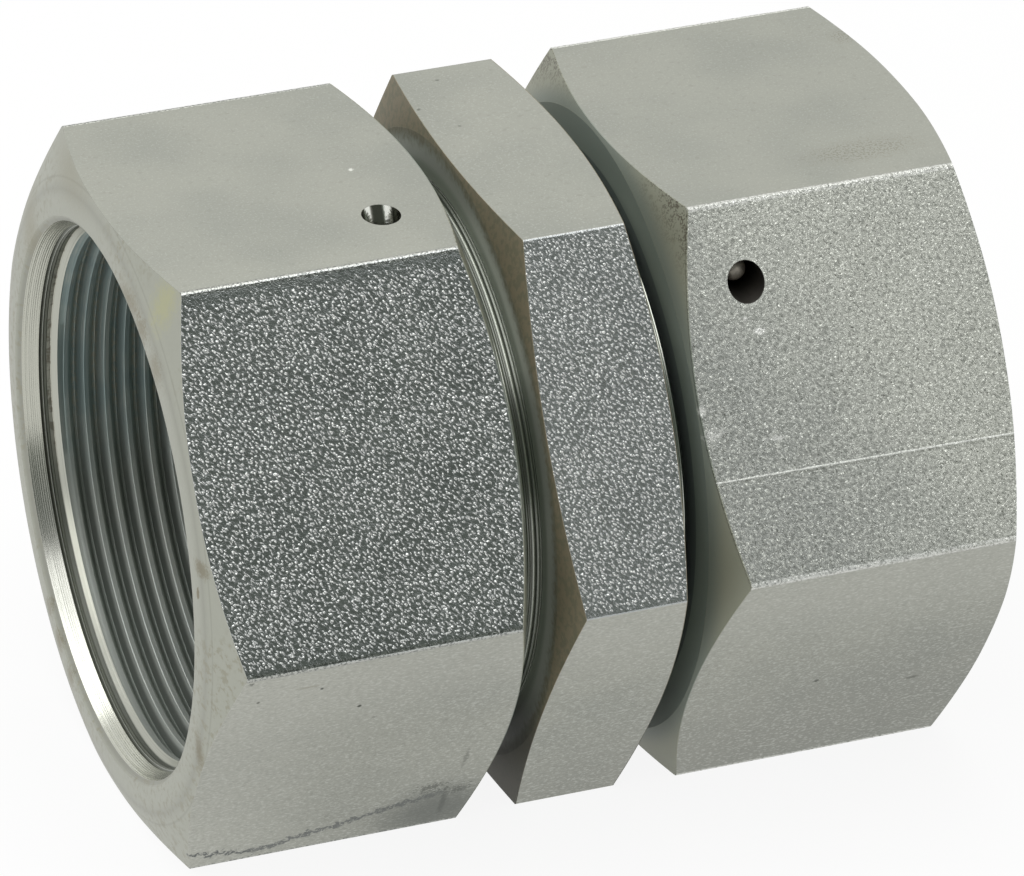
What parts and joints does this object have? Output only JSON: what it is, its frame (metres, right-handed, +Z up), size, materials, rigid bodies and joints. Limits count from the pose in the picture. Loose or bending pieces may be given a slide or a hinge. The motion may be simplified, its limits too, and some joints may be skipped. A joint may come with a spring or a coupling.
{
  "type": "swivel nut pipe adapter",
  "caption": "Straight steel pipe adapter: a short hexagonal body with a bore through it and a swivelling hexagonal union nut, threaded inside, at each end.",
  "frame": {"origin": "middle of the adapter on its axis, halfway between the two nuts' front faces and 30 mm above the surface it lies on", "axes": "+X along the axis towards the right nut's mouth, +Z up, square to the flats it lies on, +Y away from the camera"},
  "size_m": [0.0786, 0.0692, 0.06],
  "materials": {
    "plated_steel": "zinc plated, satin, with hammered flats at the front",
    "wire_steel": "dark drawn spring wire",
    "seal_rubber": "matt black"
  },
  "bodies": {
    "adapter": {"body": "plated_steel", "left_o_ring": "seal_rubber", "right_o_ring": "seal_rubber"},
    "left_swivel": {"left_nut": "plated_steel", "left_retaining_wire": "wire_steel"},
    "right_swivel": {"right_nut": "plated_steel", "right_retaining_wire": "wire_steel"}
  },
  "joints": [
    {"name": "left_nut_turn", "type": "hinge", "parent": "adapter", "child": "left_swivel", "pos_m": [-0.0154, 0, 0], "axis": [1, 0, 0], "continuous": true},
    {"name": "right_nut_turn", "type": "hinge", "parent": "adapter", "child": "right_swivel", "pos_m": [0.0154, 0, 0], "axis": [1, 0, 0], "continuous": true}
  ]
}
